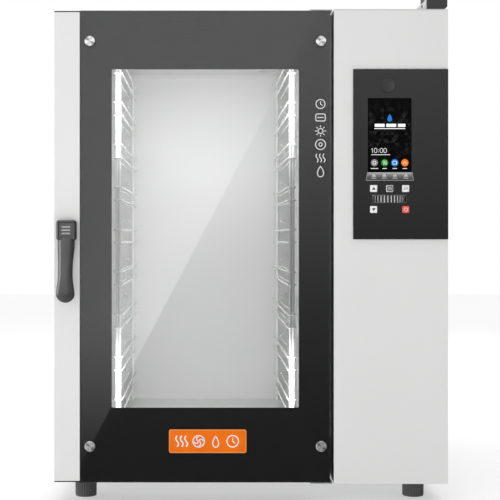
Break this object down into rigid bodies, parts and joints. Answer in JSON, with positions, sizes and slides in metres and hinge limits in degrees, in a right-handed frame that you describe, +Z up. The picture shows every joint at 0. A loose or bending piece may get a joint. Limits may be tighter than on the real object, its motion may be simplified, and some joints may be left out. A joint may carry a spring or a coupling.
{
  "type": "combi steamer oven",
  "caption": "Countertop combi steamer oven with side racks, glazed door hinged on the right, turn handle, key and wheel control column and short feet.",
  "frame": {"origin": "on the floor under the middle of the oven's outline", "axes": "+Z up, the door and control column face -Y, the control column is on the +X side"},
  "size_m": [0.788, 0.8492, 1.036],
  "materials": {
    "satin_steel": "satin stainless sheet",
    "cavity_steel": "bright stainless sheet and wire",
    "zinc_steel": "plain zinc-plated sheet",
    "black_paint": "black enamel",
    "clear_glass": "tempered glass",
    "black_panel": "dark glossy front foil",
    "black_plastic": "moulded black plastic",
    "grey_plastic": "moulded dark grey plastic",
    "rubber": "silicone rubber",
    "orange_plate": "orange enamel",
    "screen": "display glass",
    "circuit": "circuit board",
    "brass": "cast brass",
    "wool": "mineral wool",
    "white_key": "white keycap",
    "grey_key": "light grey keycap",
    "red_key": "red keycap"
  },
  "bodies": {
    "root": {"left_side_panel": "satin_steel", "right_side_panel": "satin_steel", "top_panel": "satin_steel", "column_front": "satin_steel", "air_outlet_bracket": "satin_steel", "vent_pipe": "satin_steel", "cavity_liner": "cavity_steel", "rack_left": "cavity_steel", "rack_right": "cavity_steel", "fan_baffle": "cavity_steel", "heater_lower": "cavity_steel", "heater_upper": "cavity_steel", "base_frame": "zinc_steel", "back_panel": "zinc_steel", "fan_motor_lower": "zinc_steel", "fan_motor_upper": "zinc_steel", "drain_pipe": "zinc_steel", "steam_pipe": "zinc_steel", "port_socket": "zinc_steel", "cavity_front_frame": "black_paint", "hinge_bracket_upper": "black_paint", "hinge_bracket_lower": "black_paint", "control_panel": "black_panel", "air_outlet_box": "black_plastic", "cable_gland": "black_plastic", "foot_front_left": "grey_plastic", "foot_front_right": "grey_plastic", "foot_rear_left": "grey_plastic", "foot_rear_right": "grey_plastic", "vent_motor": "grey_plastic", "soft_key_ledge": "grey_plastic", "door_gasket": "rubber", "display": "screen", "control_board": "circuit", "power_board": "circuit", "water_valve": "brass", "insulation": "wool"},
    "door": {"door_outer_glass": "clear_glass", "door_inner_glass": "clear_glass", "door_frame": "black_paint", "door_light_bar": "grey_plastic", "door_badge": "orange_plate", "handle_strip": "satin_steel", "glass_screw_lower_left": "satin_steel", "glass_screw_upper_left": "satin_steel", "glass_screw_lower_right": "satin_steel", "glass_screw_upper_right": "satin_steel"},
    "handle": {"handle_lever": "black_plastic", "latch_spindle": "zinc_steel"},
    "key_up": {"key_up": "white_key"},
    "key_home": {"key_home": "grey_key"},
    "key_program": {"key_program": "white_key"},
    "key_down": {"key_down": "white_key"},
    "key_power": {"key_power": "red_key"},
    "scroll_wheel": {"scroll_wheel": "grey_plastic"},
    "port_cover": {"port_cover": "grey_plastic"},
    "fan_lower": {"fan_wheel_lower": "cavity_steel"},
    "fan_upper": {"fan_wheel_upper": "cavity_steel"},
    "vent_flap": {"vent_flap": "satin_steel"}
  },
  "joints": [
    {"name": "door_hinge", "type": "hinge", "parent": "root", "child": "door", "pos_m": [0.1355, -0.368, 0.515], "axis": [0, 0, 1], "range_deg": [0, 120]},
    {"name": "handle_turn", "type": "hinge", "parent": "door", "child": "handle", "pos_m": [-0.3677, -0.39, 0.5484], "axis": [0, 1, 0], "range_deg": [-90, 0]},
    {"name": "key_up_press", "type": "slide", "parent": "root", "child": "key_up", "axis": [0, 1, 0], "range_m": [0, 0.0015], "stiffness_N_per_m": 600},
    {"name": "key_home_press", "type": "slide", "parent": "root", "child": "key_home", "axis": [0, 1, 0], "range_m": [0, 0.0015], "stiffness_N_per_m": 600},
    {"name": "key_program_press", "type": "slide", "parent": "root", "child": "key_program", "axis": [0, 1, 0], "range_m": [0, 0.0015], "stiffness_N_per_m": 600},
    {"name": "key_down_press", "type": "slide", "parent": "root", "child": "key_down", "axis": [0, 1, 0], "range_m": [0, 0.0015], "stiffness_N_per_m": 600},
    {"name": "key_power_press", "type": "slide", "parent": "root", "child": "key_power", "axis": [0, 1, 0], "range_m": [0, 0.0015], "stiffness_N_per_m": 600},
    {"name": "scroll_wheel_turn", "type": "hinge", "parent": "root", "child": "scroll_wheel", "pos_m": [0.2765, -0.3499, 0.61], "axis": [0, 0, 1], "continuous": true},
    {"name": "port_cover_swing", "type": "hinge", "parent": "root", "child": "port_cover", "pos_m": [0.274, -0.3857, 0.8463], "axis": [0, 1, 0], "range_deg": [0, 130]},
    {"name": "fan_lower_spin", "type": "hinge", "parent": "root", "child": "fan_lower", "pos_m": [0.2, 0.01, 0.33], "axis": [1, 0, 0], "continuous": true},
    {"name": "fan_upper_spin", "type": "hinge", "parent": "root", "child": "fan_upper", "pos_m": [0.2, 0.01, 0.73], "axis": [1, 0, 0], "continuous": true},
    {"name": "vent_flap_turn", "type": "hinge", "parent": "root", "child": "vent_flap", "pos_m": [0.06, 0.2, 1.008], "axis": [1, 0, 0], "range_deg": [0, 90]}
  ]
}
